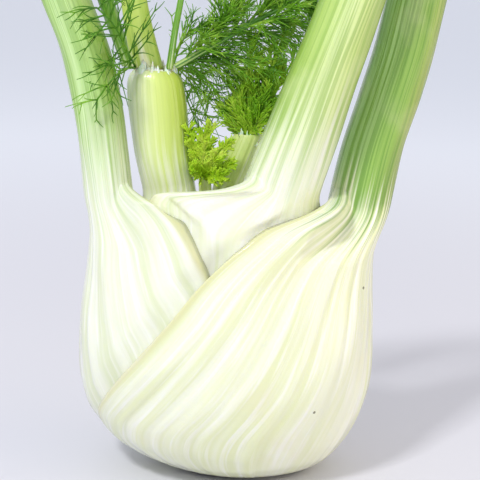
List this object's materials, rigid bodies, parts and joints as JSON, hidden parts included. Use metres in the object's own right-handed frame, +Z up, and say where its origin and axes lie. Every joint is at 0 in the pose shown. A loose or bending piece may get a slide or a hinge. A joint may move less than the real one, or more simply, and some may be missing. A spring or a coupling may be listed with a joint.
{
  "type": "fennel bulb",
  "caption": "Fresh fennel bulb of overlapping pale ribbed leaf bases, trimmed green stalks and feathery fronds, standing on its cut stem plate",
  "frame": {"origin": "middle of the flat trimmed face under the stem plate, where the bulb stands", "axes": "+Z up along the bulb, +X to the right and -Y towards the front, where the outer right leaf crosses over the outer left leaf"},
  "size_m": [0.1479, 0.0746, 0.186],
  "materials": {
    "cut_stem": "dry cut plant tissue, cream to tan",
    "leaf_base": "waxy moist plant skin, white below and green striped above, fine lengthwise ribs",
    "leaf_stem": "smooth green plant skin",
    "feathery_leaf": "thread-fine bright green leaves"
  },
  "bodies": {
    "root": {"trimmed_stem_plate": "cut_stem", "outer_right_leaf": "leaf_base", "outer_left_leaf": "leaf_base", "inner_right_leaf": "leaf_base", "inner_left_leaf": "leaf_base", "heart_right_leaf": "leaf_base", "youngest_leaf": "leaf_base", "strap_stem": "leaf_stem", "left_side_stem": "leaf_stem", "front_side_stem": "leaf_stem", "right_side_stem": "leaf_stem", "left_feathery_leaf": "feathery_leaf", "middle_feathery_leaf": "feathery_leaf", "right_feathery_leaf": "feathery_leaf", "young_feathery_leaf": "feathery_leaf"}
  },
  "joints": []
}
